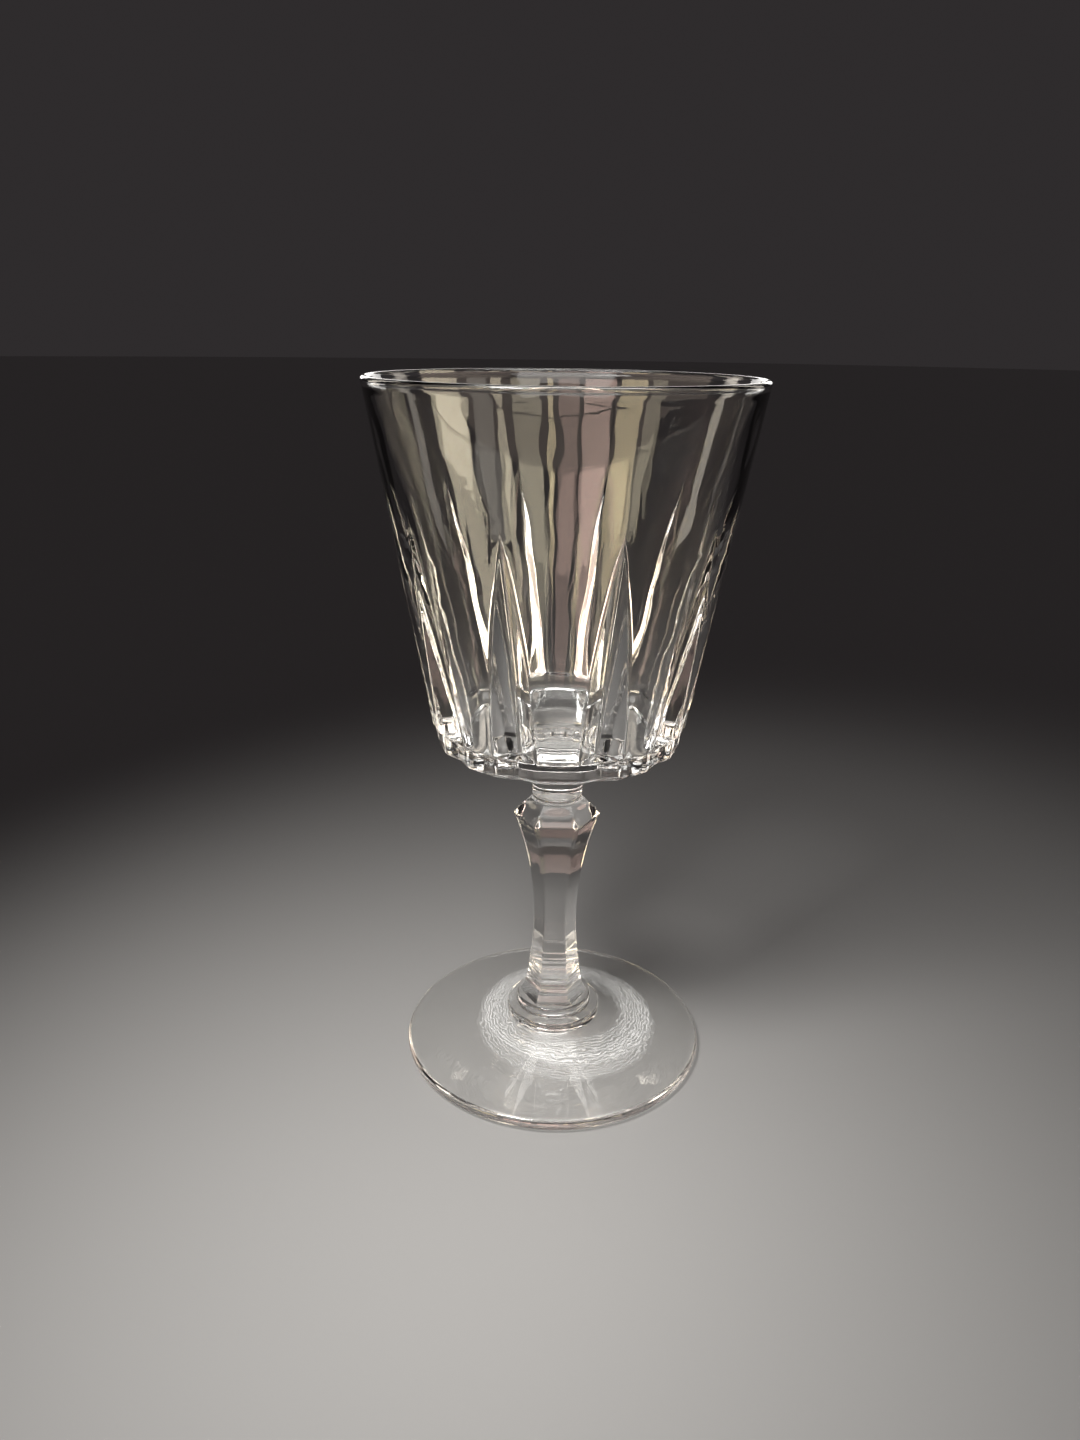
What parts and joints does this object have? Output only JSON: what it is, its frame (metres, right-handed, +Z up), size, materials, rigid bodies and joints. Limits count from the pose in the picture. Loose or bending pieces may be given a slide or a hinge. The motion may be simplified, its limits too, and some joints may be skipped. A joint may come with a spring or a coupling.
{
  "type": "wine glass",
  "caption": "Footed pressed-glass wine goblet with a straight conical bowl, pointed flutes over a lobed base, a waisted six-sided stem with a knop, and a round foot.",
  "frame": {"origin": "centre of the foot's flat resting ring, on the surface the glass stands on", "axes": "+Z up along the glass's axis to the rim; one flat facet of the bowl's base and one flat face of the stem look towards -Y"},
  "size_m": [0.0834, 0.0834, 0.16],
  "materials": {
    "bowl_glass": "fire-polished clear glass with soft mould ripple",
    "stem_glass": "fire-polished clear glass",
    "foot_glass": "clear glass with chill ripples round the collar"
  },
  "bodies": {
    "root": {"bowl": "bowl_glass", "neck": "stem_glass", "merese": "stem_glass", "stem": "stem_glass", "foot_collar": "foot_glass", "foot": "foot_glass"}
  },
  "joints": []
}
